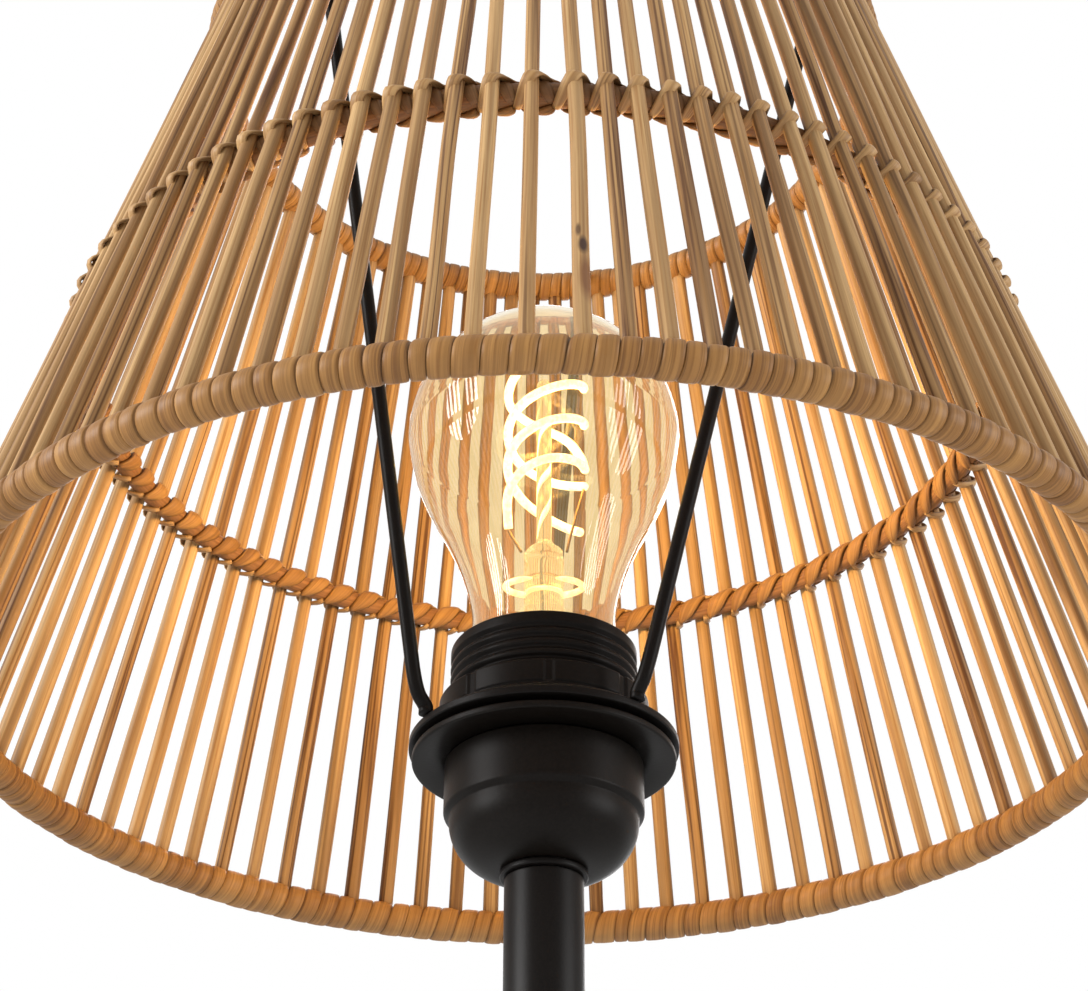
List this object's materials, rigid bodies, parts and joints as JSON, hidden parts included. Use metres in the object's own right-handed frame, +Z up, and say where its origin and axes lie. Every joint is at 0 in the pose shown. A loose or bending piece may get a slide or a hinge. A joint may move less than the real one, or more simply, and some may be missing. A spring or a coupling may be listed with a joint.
{
  "type": "floor lamp",
  "caption": "Floor lamp with a round weighted base, a slim black pole and a conical open-weave rattan stick shade around a clear filament bulb.",
  "frame": {"origin": "on the floor, under the pole's axis at the base's centre", "axes": "+Z up along the pole; +Y towards the cord inlet at the rear; +X to the right as seen from the front"},
  "size_m": [0.2576, 0.2576, 1.444],
  "materials": {
    "black_metal": "satin black powder coat",
    "black_plastic": "satin black moulded plastic",
    "steel": "zinc-plated steel",
    "iron": "rough cast iron",
    "brass": "plain brass",
    "nickel": "nickel plate",
    "rubber": "soft black rubber",
    "felt": "black felt",
    "insulator": "dark moulded insulator",
    "cable": "black cable sheath",
    "circuit": "lacquered circuit board",
    "rattan": "natural rattan cane, unlacquered",
    "peel": "natural rattan peel, slightly glossy",
    "bulb_glass": "clear glass with a warm tint",
    "stem_glass": "clear glass",
    "filament": "lit filament coating"
  },
  "bodies": {
    "stand": {"base_pad": "felt", "base_cover": "black_metal", "base_weight": "iron", "base_washer": "steel", "base_nut": "steel", "base_nipple": "steel", "foot_bush": "steel", "foot_collar": "black_metal", "cord_inlet": "rubber", "pole_lower": "black_metal", "pole_middle": "black_metal", "coupler_lower": "steel", "pole_upper": "black_metal", "coupler_middle": "steel", "pole_top_bush": "steel", "neck_collar": "black_metal", "socket_cup": "black_plastic", "holder_nipple": "steel", "tooth_washer": "steel", "nipple_nut": "steel", "holder_skirt": "black_plastic", "inner_lead": "cable", "holder_insert": "insulator", "screw_shell": "brass", "centre_contact": "brass", "terminal_live": "brass", "terminal_screw_live": "steel", "core_live": "cable", "terminal_neutral": "brass", "terminal_screw_neutral": "steel", "core_neutral": "cable"},
    "ring": {"retaining_ring": "black_plastic"},
    "shade": {"carrier_ring": "black_metal", "carrier_arm_1": "black_metal", "carrier_arm_2": "black_metal", "carrier_arm_3": "black_metal", "bottom_rim": "peel", "top_rim": "peel", "stick_cage": "rattan", "mid_lashing": "peel"},
    "bulb_contact": {"bulb_eyelet": "nickel"},
    "bulb": {"bulb_glass": "bulb_glass", "bulb_cap": "nickel", "cap_insulator": "black_plastic", "bulb_driver": "circuit", "bulb_stem": "stem_glass", "bulb_filament": "filament", "filament_lead_1": "nickel", "filament_lead_2": "nickel"}
  },
  "joints": [
    {"name": "ring_turn", "type": "hinge", "parent": "stand", "child": "ring", "pos_m": [0, 0, 1.259], "axis": [0, 0, 1], "range_deg": [0, 1080]},
    {"name": "shade_turn", "type": "hinge", "parent": "stand", "child": "shade", "pos_m": [0, 0, 1.254], "axis": [0, 0, 1], "continuous": true},
    {"name": "bulb_lift", "type": "slide", "parent": "stand", "child": "bulb_contact", "axis": [0, 0, 1], "range_m": [0, 0.0127]},
    {"name": "bulb_turn", "type": "hinge", "parent": "bulb_contact", "child": "bulb", "pos_m": [0, 0, 1.27], "axis": [0, 0, 1], "range_deg": [0, 1260]}
  ],
  "couplings": [
    {"joint": "bulb_turn", "follows": "bulb_lift", "rad_per_m": 1731.4}
  ]
}
